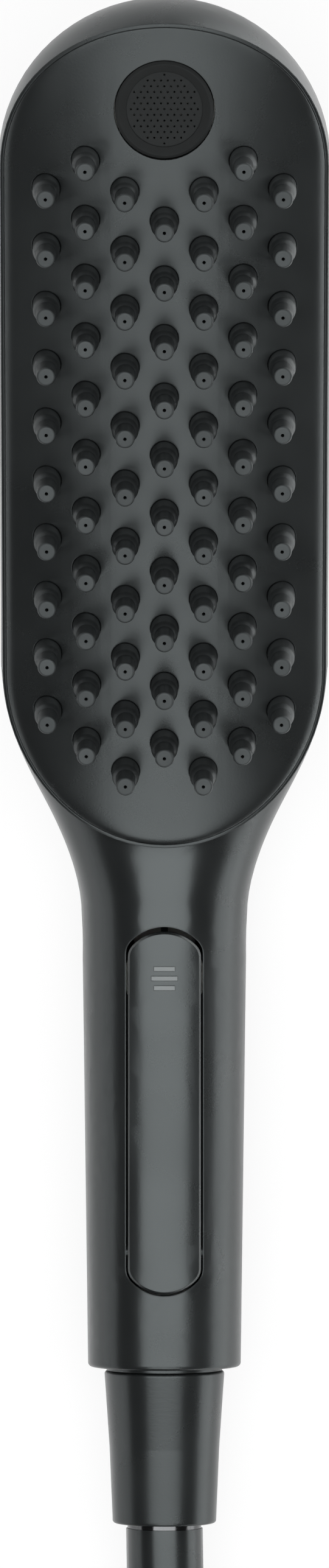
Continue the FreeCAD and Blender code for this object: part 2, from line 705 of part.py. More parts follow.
def slot_form(side_gap, low_gap, top_gap, low_level, high_level=30):
    """The button's outline as a prism: a long slot, each end a broad arc between two corner arcs."""
    half, end, corner = (float(v - side_gap) for v in (s.slot_half_width, s.slot_end, s.slot_corner))
    low = float(s.slot_low + low_gap) + end
    high = float(s.slot_high - top_gap) - end
    aside, rise = half - corner, end - corner
    # The broad arc's centre lies this far behind the corners' centres, so that the arcs are tangent
    behind = (aside ** 2 - rise ** 2) / (2 * rise)
    slant = math.atan2(behind, aside)
    turn = V(aside + corner * math.cos(slant), corner * math.sin(slant), 0)
    middle = V(aside + corner * math.cos(slant / 2), corner * math.sin(slant / 2), 0)

    def at(point, side, place, up):
        return V(side * point.x, place + up * point.y, float(low_level))

    tip, rim = V(0, end, 0), V(half, 0, 0)
    outline = turned_face([
        at(rim, 1, low, 1),
        at(rim, 1, high, 1),
        [at(middle, 1, high, 1), at(turn, 1, high, 1)],
        [at(tip, 1, high, 1), at(turn, -1, high, 1)],
        [at(middle, -1, high, 1), at(rim, -1, high, 1)],
        at(rim, -1, low, 1),
        [at(middle, -1, low, -1), at(turn, -1, low, -1)],
        [at(tip, 1, low, -1), at(turn, 1, low, -1)],
        [at(middle, 1, low, -1), at(rim, 1, low, -1)],
    ])
    return outline.extrude(V(0, 0, high_level - low_level))


# Casing and face


def body_shell():
    outside = handle_form(0, 0)
    rim = [e for e in outside.Edges if abs(e.BoundBox.YMax) < 0.01]
    outside = outside.makeFillet(float(s.end_rounding), rim)
    outside = outside.fuse([neck_form(0), in_handle(face_form(0, s.face_radius, bottom=-12))])
    inside = handle_form(s.wall, s.end_wall)
    hollow = face_form(s.wall, plate_back, bottom=-13)
    inside = inside.fuse([neck_form(s.wall), in_handle(hollow)])
    seat = in_handle(face_form(s.rim - s.seam, s.face_radius + 9, plate_back))
    shell = outside.cut(inside).cut(seat)
    shell = shell.cut(slot_form(0, 0, 0, s.pin_level / 2))
    pin_reach = s.pin_half_length + s.fit_gap
    pin_hole = rod(s.pin_radius + s.fit_gap, V(-pin_reach, s.pin_place, s.pin_level), ACROSS, 2 * pin_reach)
    inlet_hole = rod(s.shank_radius + s.fit_gap, V(0, -1, 0), ALONG_Y, s.end_wall + 2)
    shell = shell.cut([pin_hole, inlet_hole])
    for side in (1, -1):
        foot = V(side * s.post_offset, s.post_place, -s.handle_radius + s.wall / 2)
        post = rod(s.post_radius, foot, ALONG_Z, s.ear_level - foot.z)
        pilot = rod(s.screw_radius + s.fit_gap, foot + V(0, 0, s.wall), ALONG_Z, 20)
        shell = shell.fuse(post).cut(pilot)
    return shell


def nub_places():
    """Rows from the bottom up: columns one and three in one row, none and two in the next."""
    places = []
    last_row = 21
    for row in range(last_row + 1):
        along = s.nub_first + s.nub_pitch_along / 2 * row
        columns = (-3, -1, 1, 3) if row % 2 == 0 else (-2, 0, 2)
        for column in columns:
            left_out = (abs(column) == 3 and row == 0) or (column == 0 and row == last_row)
            if not left_out:
                places.append(V(column * s.nub_pitch_across, along, 0))
    return places


def screw_places():
    """Foot of each tray screw: four on each side, two in the round end and one at the lower tip."""
    side = s.head_half_width - s.screw_inset - 0.5
    cap = side - 1.2
    between_rows = (1.5, 4.5, 7.5, 10.5)
    places = [V(0, s.screw_inset + 0.4, 0)]
    for sign in (1, -1):
        places += [V(sign * side, s.nub_first + s.nub_pitch_along * k, 0) for k in between_rows]
        places.append(V(sign * cap * math.sqrt(0.75), s.cap_place + cap / 2, 0))
    for place in places:
        place.z = front_at(place.x, plate_back)
    return places


def face_plate():
    plate = face_form(s.rim, s.face_radius, plate_back)
    holes = [rod(s.nub_root_radius + s.nub_hole_gap, p + V(0, 0, -30), ALONG_Z, 40) for p in nub_places()]
    holes.append(rod(s.ring_radius + s.ring_gap, V(0, s.spray_place, -30), ALONG_Z, 40))
    below = 5.0
    for place in screw_places():
        depth = below + s.screw_bite + s.fit_gap
        holes.append(rod(s.screw_radius + s.fit_gap, place - V(0, 0, below), ALONG_Z, depth))
    return plate.cut(Part.Compound(holes))


def nub_mat():
    mat = face_form(s.mat_inset, mat_front, mat_back)
    below = 6.0
    tip_start = s.nub_length - s.nub_rounding
    neck_radius = s.nub_root_radius - s.nub_taper
    tip_radius = s.nub_tip_radius - s.nub_taper
    shoulder_top = s.nub_shoulder + s.nub_shoulder_height
    eighth = 1 - math.sqrt(0.5)
    # The shoulder's arc goes through a point near its outside, most of the way up
    arc_radius = neck_radius - (neck_radius - s.nub_tip_radius) * 0.35
    arc_level = s.nub_shoulder + s.nub_shoulder_height * 0.6
    profile = turned_face([
        V(0, 0, -below),
        V(s.nub_root_radius, 0, -below),
        V(s.nub_root_radius, 0, 0),
        V(neck_radius, 0, s.nub_shoulder),
        [V(arc_radius, 0, arc_level), V(s.nub_tip_radius, 0, shoulder_top)],
        V(tip_radius, 0, tip_start),
        [V(tip_radius - s.nub_rounding * eighth, 0, s.nub_length - s.nub_rounding * eighth),
         V(tip_radius - s.nub_rounding, 0, s.nub_length)],
        V(0, 0, s.nub_length),
    ])
    nub = profile.revolve(V(0, 0, 0), ALONG_Z, FULL_TURN)
    bore = rod(s.nub_bore_radius, V(0, 0, -below - 1), ALONG_Z, below + 1 + s.nub_length - s.jet_depth)
    bore = bore.fuse(rod(s.jet_radius, V(0, 0, 0), ALONG_Z, s.nub_length + 1))
    nubs, bores = [], []
    for place in nub_places():
        foot = V(place.x, place.y, front_at(place.x))
        nubs.append(nub.translated(foot))
        bores.append(bore.translated(foot))
    mat = mat.fuse(nubs).cut(front_round(mat_back)).cut(Part.Compound(bores))
    openings = [rod(s.cup_collar_radius + s.fit_gap, V(0, s.spray_place, -30), ALONG_Z, 40)]
    for place in screw_places():
        openings.append(rod(s.screw_radius + s.fit_gap, V(place.x, place.y, -30), ALONG_Z, 40))
    return mat.cut(Part.Compound(openings))


def distributor_plate():
    tray = face_form(s.tray_inset, tray_top, tray_bottom)
    chamber = face_form(s.tray_inset + s.tray_flange, tray_top + 1, tray_floor)
    tray = tray.cut(chamber)
    centre = V(0, s.spray_place, -30)
    well = rod(s.cup_collar_radius + s.fit_gap + s.well_wall, centre, ALONG_Z, 40)
    well = well.common(front_round(tray_top)).cut(front_round(tray_bottom))
    tray = tray.fuse(well)
    collar_foot = V(0, s.spray_place, front_at(0, tray_floor))
    collar_room = rod(s.cup_collar_radius + s.fit_gap, collar_foot, ALONG_Z, 20)
    cup_room = rod(s.cup_radius + s.fit_gap, centre, ALONG_Z, 40)
    tray = tray.cut([collar_room, cup_room])
    # Water inlet below the floor, toward the handle
    low = s.jet_line_place
    level = -s.jet_line_depth
    side = s.feed_offset
    wide = s.feed_spigot_radius + s.spigot_block_wall
    across, along = (side - wide, side + wide), (low, low + s.jet_block_length)
    inlet = block(across, along, (level - wide, front_at(0, tray_floor)))
    inlet = inlet.common(front_round(tray_floor))
    foot = V(side, low - s.feed_spigot_length, level)
    inlet = inlet.fuse(rod(s.feed_spigot_radius, foot, ALONG_Y, s.feed_spigot_length + 1))
    tray = tray.fuse(inlet)
    riser = V(side, low + s.jet_block_length - wide, level)
    channel = rod(s.feed_bore_radius, foot - V(0, 1, 0), ALONG_Y, riser.y - foot.y + 1)
    tray = tray.cut([channel, rod(s.feed_bore_radius, riser, ALONG_Z, 10)])
    for place in screw_places():
        hole = rod(s.screw_radius + s.fit_gap, V(place.x, place.y, -40), ALONG_Z, 50)
        seat_level = place.z + s.screw_bite - s.screw_length
        head_room = s.screw_head_radius + s.screw_head_room
        recess = rod(head_room, V(place.x, place.y, seat_level - 20), ALONG_Z, 20)
        tray = tray.cut([hole, recess])
    return tray


def screw(length):
    """A pan-head screw whose tip is at the origin, its head below."""
    shank = rod(s.screw_radius, V(0, 0, -length), ALONG_Z, length)
    head = rod(s.screw_head_radius, V(0, 0, -length - s.screw_head_height), ALONG_Z, s.screw_head_height)
    half, reach = s.screw_cross_width / 2, s.screw_cross_reach
    depth = s.screw_cross_width - length - s.screw_head_height
    cross = block((-half, half), (-reach, reach), (-PAST, depth))
    return shank.fuse(head).cut([cross, cross.rotated(V(0, 0, 0), ALONG_Z, 90)])


def plate_screws():
    one = screw(s.screw_length)
    return Part.Compound([one.translated(p + V(0, 0, s.screw_bite)) for p in screw_places()])


# Fine-spray outlet, all round one axis

CUP = HEAD.multiply(FreeCAD.Placement(V(0, float(s.spray_place), 0), FreeCAD.Rotation()))
screen_front = -s.ring_sink - s.screen_recess
screen_back = screen_front - s.screen_thickness
seal_back = screen_back - s.seal_thickness


def spray_ring():
    """Its crest falls off steeply to the outside and in a wide slope to the screen."""
    inner = s.screen_radius + s.fit_gap
    return turned("spray_ring", [
        (s.ring_mouth_radius, screen_front + s.ring_lip),
        (s.ring_crest_radius, -s.ring_sink),
        (s.ring_radius, -s.ring_sink - s.ring_bevel),
        (s.ring_radius, -s.ring_depth),
        (inner, -s.ring_depth),
        (inner, screen_front),
        (s.ring_mouth_radius, screen_front),
    ], "XZ_Plane", CUP)


def spray_screen():
    disc = rod(s.screen_radius, V(0, 0, screen_back), ALONG_Z, s.screen_thickness)
    holes = []
    reach = s.ring_mouth_radius - 3 * s.screen_hole_radius
    rows = int(reach / (s.screen_hole_pitch * math.sqrt(0.75)))
    for row in range(-rows, rows + 1):
        y = row * s.screen_hole_pitch * math.sqrt(0.75)
        shift = s.screen_hole_pitch / 2 if row % 2 else 0
        for column in range(-rows, rows + 1):
            x = column * s.screen_hole_pitch + shift
            if math.hypot(x, y) < reach:
                holes.append(rod(s.screen_hole_radius, V(x, y, screen_back - 1), ALONG_Z, 3))
    return disc.cut(Part.Compound(holes))


def screen_seal():
    inner = s.cup_bore_radius - s.seal_lap
    return turned("screen_seal", [
        (inner, screen_back), (s.screen_radius, screen_back),
        (s.screen_radius, seal_back), (inner, seal_back),
    ], "XZ_Plane", CUP)


def spray_cup():
    sleeve = s.screen_radius - s.fit_gap
    groove = s.ring_radius + s.fit_gap
    floor = -s.cup_depth + s.cup_floor
    collar_top = front_at(s.cup_collar_radius, plate_back) - s.fit_gap
    collar_low = front_at(0, tray_floor) + s.fit_gap
    profile = turned_face([
        V(0, 0, -s.cup_depth),
        V(s.cup_radius, 0, -s.cup_depth),
        V(s.cup_radius, 0, collar_low),
        V(s.cup_collar_radius, 0, collar_low),
        V(s.cup_collar_radius, 0, collar_top),
        V(groove, 0, collar_top),
        V(groove, 0, -s.ring_depth - s.fit_gap),
        V(sleeve, 0, -s.ring_depth - s.fit_gap),
        V(sleeve, 0, seal_back),
        V(s.cup_bore_radius, 0, seal_back),
        V(s.cup_bore_radius, 0, floor),
        V(0, 0, floor),
    ])
    cup = profile.revolve(V(0, 0, 0), ALONG_Z, FULL_TURN)
    root = 0.6
    start = V(0, -s.cup_bore_radius - root, -s.spray_line_depth)
    reach = s.cup_radius - s.cup_bore_radius + s.feed_spigot_length
    cup = cup.fuse(rod(s.feed_spigot_radius, start, -ALONG_Y, reach))
    return cup.cut(rod(s.feed_bore_radius, start + V(0, 1, 0), -ALONG_Y, reach + 2))


# Selector valve, round a vertical axis in the handle

VALVE = FreeCAD.Placement(V(0, float(s.valve_place), 0), FreeCAD.Rotation())
feed_level = s.valve_bottom + s.feed_spigot_radius + 0.1


def valve_housing():
    body = rod(s.valve_radius, V(0, 0, s.valve_bottom), ALONG_Z, s.valve_top - s.valve_bottom)
    along = (s.ear_low - s.valve_place, s.ear_high - s.valve_place)
    ear = block((-s.ear_half_width, s.ear_half_width), along, (s.ear_level, ear_top))
    inlet_end = -s.valve_radius - s.water_tube_overlap
    inlet = rod(s.inlet_spigot_radius, V(0, inlet_end, 0), ALONG_Y, s.water_tube_overlap + 2)
    body = body.fuse([ear, inlet])
    for side in (1, -1):
        outlet = rod(s.feed_spigot_radius, V(side * s.port_offset, 0, feed_level), ALONG_Y,
                     s.valve_radius + s.outlet_length)
        body = body.fuse(outlet)
    hollow = rod(s.valve_bore_radius, V(0, 0, s.valve_floor), ALONG_Z, 20)
    body = body.cut([hollow, rod(s.inlet_spigot_bore, V(0, inlet_end - 1, 0), ALONG_Y, -inlet_end)])
    for side in (1, -1):
        port = rod(s.port_radius, V(side * s.port_offset, 0, feed_level), ALONG_Z, 10)
        channel = rod(s.feed_bore_radius, V(side * s.port_offset, 0, feed_level), ALONG_Y, 30)
        hole = V(side * s.post_offset, s.post_place - s.valve_place, -20)
        body = body.cut([port, channel, rod(s.screw_radius + s.fit_gap, hole, ALONG_Z, 20)])
    return body


def housing_screws():
    """Two screws through the ear into the casing's posts, heads up."""
    one = screw(s.housing_screw_length).rotated(V(0, 0, 0), ACROSS, 180)
    foot = ear_top - s.housing_screw_length
    return Part.Compound([one.translated(V(side * s.post_offset, s.post_place, foot)) for side in (1, -1)])


def valve_cap():
    guide = s.plunger_radius + s.running_gap
    rim = s.valve_bore_radius - s.fit_gap
    groove_low = s.valve_top + (s.cap_thickness - s.seal_section) / 2
    groove_high = groove_low + s.seal_section
    groove = guide + s.seal_depth
    top = s.valve_top + s.cap_thickness
    return turned("valve_cap", [
        (guide, s.valve_top), (rim - s.cap_rim, s.valve_top),
        (rim - s.cap_rim, s.valve_top - s.cap_spigot),
        (rim, s.valve_top - s.cap_spigot), (rim, s.valve_top), (s.valve_radius, s.valve_top),
        (s.valve_radius, top), (guide, top), (guide, groove_high), (groove, groove_high),
        (groove, groove_low), (guide, groove_low),
    ], "XZ_Plane", VALVE)


def plunger_seal():
    inner = s.plunger_radius + s.running_gap
    outer = inner + s.seal_depth - s.fit_gap
    low = s.valve_top + (s.cap_thickness - s.seal_section) / 2
    return turned("plunger_seal", [
        (inner, low), (outer, low), (outer, low + s.seal_section), (inner, low + s.seal_section),
    ], "XZ_Plane", VALVE)


def plunger():
    collar_top = s.collar_level + s.collar_thickness
    return turned("plunger", [
        (0, s.stem_bottom), (s.stem_radius, s.stem_bottom), (s.stem_radius, s.collar_level),
        (s.collar_radius, s.collar_level), (s.collar_radius, collar_top),
        (s.plunger_radius, collar_top), (s.plunger_radius, s.plunger_top - s.plunger_bevel),
        (s.plunger_radius - s.plunger_bevel, s.plunger_top), (0, s.plunger_top),
    ], "XZ_Plane", VALVE)


def valve_seat():
    radius = s.valve_bore_radius - s.fit_gap
    top = s.valve_floor + s.seat_thickness
    body = turned("valve_seat", [
        (0, s.valve_floor), (radius, s.valve_floor), (radius, top), (0, top),
    ], "XZ_Plane", VALVE)
    round_hole(body, "seat_port", "XY_Plane", s.port_offset, s.port_radius, copies=2)
    return body


def valve_rotor():
    low = s.valve_floor + s.seat_thickness
    disc = tube(s.rotor_radius, s.stem_radius + s.running_gap, V(0, 0, low), ALONG_Z, s.rotor_thickness)
    disc = disc.cut(rod(s.port_radius, V(s.port_offset, 0, low - 1), ALONG_Z, 10))
    teeth = 6
    rim = s.rotor_radius - 0.2
    half = s.tooth_width / 2
    tooth = block((rim - s.tooth_depth, rim), (-half, half), (low, rotor_top + s.tooth_height))
    for i in range(teeth):
        disc = disc.fuse(tooth.rotated(V(0, 0, 0), ALONG_Z, FULL_TURN / teeth * (i + 0.5)))
    return disc


def plunger_spring():
    return coil_spring(s.spring_radius, s.spring_wire, s.spring_turns, rotor_top, s.collar_level)


# Tubes from the valve's two outlets into the head

feed_inside = s.feed_spigot_radius + s.fit_gap
feed_start = s.valve_place + s.valve_radius + s.tube_end_gap


def jet_tube():
    start = V(s.port_offset, feed_start, feed_level)
    end = HEAD.multVec(V(s.feed_offset, s.jet_line_place - s.tube_end_gap, -s.jet_line_depth))
    bend = end - HEAD.Rotation.multVec(ALONG_Y) * float(s.jet_rise)
    path, _ = run_with_bends([start, start + ALONG_Y * float(s.jet_lead), bend, end])
    return pipe(path, feed_inside + s.feed_wall, feed_inside)


def spray_tube():
    """Along the back of the head beside the main tube, then over to the middle and into the cup."""
    start = V(-s.port_offset, feed_start, feed_level)
    points = [start, start + ALONG_Y * float(s.spray_lead)]
    end = s.spray_place - s.cup_radius - s.tube_end_gap
    for along in (s.spray_bend, end - s.spray_turn):
        points.append(HEAD.multVec(V(-s.port_offset, along, -s.spray_line_depth)))
    for along in (end - s.spray_straight, end):
        points.append(HEAD.multVec(V(0, along, -s.spray_line_depth)))
    return pipe(run_with_bends(points)[0], feed_inside + s.feed_wall, feed_inside)


# Button


def select_button():
    outer = slot_form(s.button_gap, s.button_gap, s.button_top_gap, s.skirt_level)
    solid = outer.common(handle_skin(s.button_proud))
    # The bevel goes round the crown, whose edges all end above the handle's straight sides
    crown_level = 14
    crown_depth = 4.5
    edges = [(edge, edge.BoundBox) for edge in solid.Edges]
    crown = [e for e, b in edges if b.ZMax > crown_level and b.ZLength < crown_depth]
    solid = solid.makeChamfer(float(s.button_bevel), crown)
    skirt = s.button_gap + s.button_skirt
    inner = slot_form(skirt, skirt, s.button_top_gap + s.button_skirt, 0)
    inner = inner.common(handle_skin(s.button_proud - s.button_roof))
    solid = solid.cut(inner)
    half = s.slot_half_width - s.button_gap
    for side in (1, -1):
        lug_start = V(half if side > 0 else -half + s.button_skirt, s.pin_place, s.pin_level)
        lug = rod(s.lug_radius, lug_start, -ACROSS, s.button_skirt)
        solid = solid.fuse(lug)
    boss_low = s.plunger_top + s.press_gap
    boss_length = crown_level + 1 - boss_low
    boss = rod(s.plunger_radius + s.boss_wall, V(0, s.valve_place, boss_low), ALONG_Z, boss_length)
    solid = solid.fuse(boss)
    solid = solid.cut(rod(s.pin_radius + s.running_gap, V(-20, s.pin_place, s.pin_level), ACROSS, 40))
    # Three raised bars to feel for
    for i in (-1, 0, 1):
        reach = s.bar_half_length - s.bar_step * abs(i)
        low = s.valve_place + s.bar_pitch * i - s.bar_width / 2
        bar = block((-reach, reach), (low, low + s.bar_width), (crown_level, PAST))
        solid = solid.fuse(bar.common(handle_skin(s.button_proud + s.bar_height)))
    return solid


def button_pin():
    pin = doc.addObject("Part::Cylinder", "button_pin")
    bind(pin, Radius=s.pin_radius, Height=s.pin_half_length * 2)
    start = V(-s.pin_half_length, s.pin_place, s.pin_level)
    pin.Placement = FreeCAD.Placement(start, FreeCAD.Rotation(ALONG_Z, ACROSS))
    return keep("button_pin", pin)


# Inlet, its check valve and the flow limiter, round the handle's axis


def inlet_fitting():
    bore = s.cartridge_radius + s.fit_gap
    shelf = s.cartridge_high + s.fit_gap
    thread_end = -s.collar_width - s.thread_length
    spigot_end = s.shank_length + s.water_tube_overlap
    return turned("inlet_fitting", [
        (bore, thread_end), (s.thread_radius - s.thread_bevel, thread_end),
        (s.thread_radius, thread_end + s.thread_bevel),
        (s.thread_radius, -s.collar_width), (s.collar_out, -s.collar_width), (s.collar_out, 0),
        (s.shank_radius, 0), (s.shank_radius, s.shank_length), (s.inlet_spigot_radius, s.shank_length),
        (s.inlet_spigot_radius, spigot_end), (s.inlet_spigot_bore, spigot_end),
        (s.inlet_spigot_bore, shelf), (bore, shelf),
    ])


def inlet_seal():
    bore = s.shank_radius + s.fit_gap
    rim = bore + s.inlet_seal_width
    top = s.end_wall + s.inlet_seal_thickness
    return turned("inlet_seal", [(bore, s.end_wall), (rim, s.end_wall), (rim, top), (bore, top)])


def inlet_lock_nut():
    low = s.end_wall + s.inlet_seal_thickness
    body = hexagon(s.lock_nut_flats, low, low + s.lock_nut_height)
    return body.cut(rod(s.shank_radius + s.fit_gap, V(0, 0, 0), ALONG_Y, PAST))


def water_tube():
    inner = s.inlet_spigot_radius + s.fit_gap
    outer = inner + s.water_tube_wall
    low = s.shank_length + s.tube_end_gap
    high = s.valve_place - s.valve_radius - s.tube_end_gap
    return turned("water_tube", [(inner, low), (outer, low), (outer, high), (inner, high)])


def flow_limiter():
    high = s.cartridge_low - s.limiter_gap
    low = high - s.limiter_thickness
    body = turned("flow_limiter", [
        (s.limiter_hole, low), (s.cartridge_radius, low), (s.cartridge_radius, high), (s.limiter_hole, high),
    ])
    round_hole(body, "limiter_jets", "XZ_Plane", s.limiter_jet_offset, s.limiter_jet, copies=6)
    return body


def check_body():
    low, high, wall = s.cartridge_low, s.cartridge_high, s.cartridge_seat
    guide = s.poppet_stem + s.running_gap
    shape = tube(s.cartridge_radius, s.seat_hole, V(0, low, 0), ALONG_Y, high - low)
    shape = shape.cut(rod(s.cartridge_bore, V(0, low + wall, 0), ALONG_Y, high - low - 2 * wall))
    end = rod(s.seat_hole + 0.5, V(0, high - wall, 0), ALONG_Y, wall)
    shape = shape.fuse(end).cut(rod(guide, V(0, 0, 0), ALONG_Y, 20))
    drain = rod(s.poppet_stem, V(s.drain_offset, high - wall - 1, 0), ALONG_Y, PAST)
    for i in range(6):
        shape = shape.cut(drain.rotated(V(0, 0, 0), ALONG_Y, FULL_TURN / 6 * i))
    return shape


def check_poppet():
    low = s.cartridge_low + s.cartridge_seat
    return turned("check_poppet", [
        (0, low), (s.poppet_radius, low), (s.poppet_radius, low + s.poppet_thickness),
        (s.poppet_stem, low + s.poppet_thickness), (s.poppet_stem, s.poppet_reach), (0, s.poppet_reach),
    ])


def check_spring():
    low = s.cartridge_low + s.cartridge_seat + s.poppet_thickness
    high = s.cartridge_high - s.cartridge_seat
    made = coil_spring(s.check_spring_radius, s.check_spring_wire, s.check_spring_turns, low, high)
    return made.rotated(V(0, 0, 0), ACROSS, -90)


# The hose's ends


def hose_nut():
    top, low = -s.nut_top, -s.nut_top - s.nut_length
    middle = (top + low) / 2
    turn = s.nut_rounding
    inset = turn * (1 - math.sqrt(0.5))
    wide, narrow = s.nut_wide_radius, s.nut_narrow_radius
    flange_back = -s.collar_width - s.thread_length - s.washer_thickness - s.flange_thickness
    shoulder = flange_back - s.nut_shoulder_gap
    thread = s.thread_radius + s.nut_thread_gap
    neck = s.tail_radius + s.nut_swivel_gap
    profile = turned_face([
        V(thread, top, 0),
        V(wide - turn, top, 0),
        [V(wide - inset, top - inset, 0), V(wide, top - turn, 0)],
        V(s.nut_middle_radius, middle, 0),
        V(narrow, low + turn, 0),
        [V(narrow - inset, low + inset, 0), V(narrow - turn, low, 0)],
        V(neck, low, 0),
        V(neck, shoulder, 0),
        V(thread, shoulder, 0),
    ])
    return profile.revolve(V(0, 0, 0), ALONG_Y, FULL_TURN)


def hose_washer():
    high = -s.collar_width - s.thread_length
    low = high - s.washer_thickness
    return turned("hose_washer", [
        (s.washer_bore, low), (s.washer_radius, low), (s.washer_radius, high), (s.washer_bore, high),
    ])


def hose_tail():
    flange = -s.collar_width - s.thread_length - s.washer_thickness
    back = flange - s.flange_thickness
    barb = s.hose_bore - s.fit_gap
    end = -s.tail_reach
    return turned("hose_tail", [
        (s.tail_bore, flange), (s.flange_radius, flange), (s.flange_radius, back), (s.tail_radius, back),
        (s.tail_radius, end), (barb, end), (barb, end - s.barb_length), (s.tail_bore, end - s.barb_length),
    ])


# The hose: a free stretch down to the table, and the rest put away in a round coil beside it

pitch = hose_width + s.coil_gap
coil_straight = hose_width
# Each run: length forward, and the share of the way to the side and down at its end
HOSE_RUNS = ((24.6, 0), (24.0, 0.26), (20.3, 0.74), (24.0, 1), (24.6, 1))
LAYER_STEPS = 5


def free_route(entry):
    points = [V(0, -s.tail_reach, 0)]
    for forward, share in HOSE_RUNS:
        points.append(V(entry * share, points[-1].y - forward, floor_level * share))
    return points


def coil_turns():
    """Turns that bring the whole hose to its length."""
    turns = 2.25
    for _ in range(6):
        entry = s.coil_mean_radius + pitch * turns / 4 - s.coil_side
        free = run_with_bends(free_route(entry))[0].Length
        rest = s.hose_length - free - coil_straight - s.far_straight
        turns = rest / (2 * math.pi * s.coil_mean_radius)
    return turns


TURNS = coil_turns()
OUTER_TURN = float(s.coil_mean_radius) + float(pitch) * TURNS / 4
ENTRY = OUTER_TURN - float(s.coil_side)
FREE_ROUTE = free_route(ENTRY)
COIL_CENTRE = V(-float(s.coil_side), FREE_ROUTE[-1].y - float(coil_straight), float(floor_level))
FAR_LIFT = float(s.nut_wide_radius + s.far_nut_lift - s.hose_radius - s.coil_gap)


def coil_route():
    """Points and directions of the coil: spiral in on the table, climb, and spiral out on top."""
    steps = 2 * LAYER_STEPS
    step = TURNS / steps
    points = [V(ENTRY, FREE_ROUTE[-1].y, floor_level)]
    tangents = [-ALONG_Y]
    for i in range(steps + 1):
        turned_by = min(i, steps - i) * step
        radius = OUTER_TURN - pitch * turned_by
        angle = 2 * math.pi * step * i
        level = 0.0 if i < LAYER_STEPS else float(pitch)
        sink, rise = -float(pitch), 0.0
        if i > LAYER_STEPS:
            sink = float(pitch)
        if i == LAYER_STEPS:
            level, sink, rise = pitch / 2, 0.0, 1.6 * pitch / (2 * step)
        if i == 0:
            sink = 0.0
        if i == steps:
            level, sink = pitch + FAR_LIFT, 0.0
        out = V(math.cos(angle), -math.sin(angle), 0)
        on = V(-math.sin(angle), -math.cos(angle), 0)
        points.append(COIL_CENTRE + out * radius + V(0, 0, level))
        tangents.append((on * (2 * math.pi * radius) + out * sink + V(0, 0, rise)).normalize())
    return points, tangents


COIL_POINTS, COIL_TANGENTS = coil_route()
COIL_END = COIL_POINTS[-1] + COIL_TANGENTS[-1] * float(s.far_straight)
FAR = FreeCAD.Placement(COIL_END, FreeCAD.Rotation(ALONG_Y, COIL_TANGENTS[-1]))


def hose():
    path, radii = run_with_bends(FREE_ROUTE)
    print("hose bends", [round(r, 1) for r in radii])
    made = pipe(path, s.hose_radius, s.hose_bore)
    ideal = math.pi * (s.hose_radius ** 2 - s.hose_bore ** 2) * path.Length
    print("hose free length", round(path.Length, 1), "volume share", round(made.Volume / ideal, 4))
    return made


def hose_coil():
    edges = [Part.LineSegment(COIL_POINTS[0], COIL_POINTS[1]).toShape()]
    edges += winding(COIL_POINTS[1:], COIL_TANGENTS[1:])
    edges.append(Part.LineSegment(COIL_POINTS[-1], COIL_END).toShape())
    path = Part.Wire(edges)
    made = pipe(path, s.hose_radius, s.hose_bore)
    ideal = math.pi * (s.hose_radius ** 2 - s.hose_bore ** 2) * path.Length
    print("coil length", round(path.Length, 1), "turns", round(TURNS, 3), "volume share",
          round(made.Volume / ideal, 4))
    spots, walked = [], 0.0
    for edge in path.OrderedEdges:
        count = max(2, int(edge.Length / 3))
        for i in range(count):
            at = edge.FirstParameter + (edge.LastParameter - edge.FirstParameter) * i / count
            spots.append((walked + edge.Length * i / count, edge.valueAt(at)))
        walked += edge.Length
    apart = min((a - b).Length for i, (u, a) in enumerate(spots) for v, b in spots[i + 1:]
                if v - u > 6 * s.hose_radius)
    print("least gap between turns", round(apart - hose_width, 3))
    return made


# Places along the far end, from where the hose stops
far_flange_back = s.far_sleeve
far_flange_front = far_flange_back + s.far_flange
far_seat = far_flange_front + s.washer_thickness
far_mouth = far_seat + s.far_thread


def far_tail():
    barb = s.hose_bore - s.fit_gap
    return turned("far_tail", [
        (s.tail_bore, -s.barb_length), (barb, -s.barb_length), (barb, 0), (s.tail_radius, 0),
        (s.tail_radius, far_flange_back), (s.flange_radius, far_flange_back),
        (s.flange_radius, far_flange_front), (s.tail_bore, far_flange_front),
    ], place=FAR)


def far_washer():
    return turned("far_washer", [
        (s.washer_bore, far_flange_front), (s.washer_radius, far_flange_front),
        (s.washer_radius, far_seat), (s.washer_bore, far_seat),
    ], place=FAR)


def far_nut():
    body = hexagon(s.nut_wide_radius * 2, s.far_nut_start, far_mouth)
    corner = s.nut_wide_radius / math.cos(math.pi / 6)
    body = body.common(rod(corner - s.far_nut_bevel, V(0, 0, 0), ALONG_Y, PAST))
    thread = rod(s.thread_radius + s.nut_thread_gap, V(0, far_seat, 0), ALONG_Y, PAST)
    back = V(0, far_flange_back - s.nut_shoulder_gap, 0)
    relief = rod(s.washer_radius + s.far_nut_relief, back, ALONG_Y, PAST)
    neck = rod(s.tail_radius + s.nut_swivel_gap, V(0, 0, 0), ALONG_Y, PAST)
    return body.cut([thread, relief, neck])


# All pieces

feature("body_shell", body_shell())
feature("face_plate", face_plate(), HEAD)
feature("nub_mat", nub_mat(), HEAD)
feature("distributor_plate", distributor_plate(), HEAD)
feature("plate_screws", plate_screws(), HEAD)
spray_ring()
feature("spray_screen", spray_screen(), CUP)
screen_seal()
feature("spray_cup", spray_cup(), CUP)

feature("valve_housing", valve_housing(), VALVE)
feature("housing_screws", housing_screws())
valve_cap()
plunger_seal()
plunger()
valve_seat()
feature("valve_rotor", valve_rotor(), VALVE)
feature("plunger_spring", plunger_spring(), VALVE)
feature("jet_tube", jet_tube())
feature("spray_tube", spray_tube())

feature("select_button", select_button())
button_pin()

inlet_fitting()
inlet_seal()
feature("inlet_lock_nut", inlet_lock_nut())
water_tube()
flow_limiter()
feature("check_body", check_body())
check_poppet()
feature("check_spring", check_spring())

feature("hose_nut", hose_nut())
hose_washer()
hose_tail()
feature("hose", hose())
feature("hose_coil", hose_coil())
far_tail()
far_washer()
feature("far_nut", far_nut(), FAR)

doc.recompute()

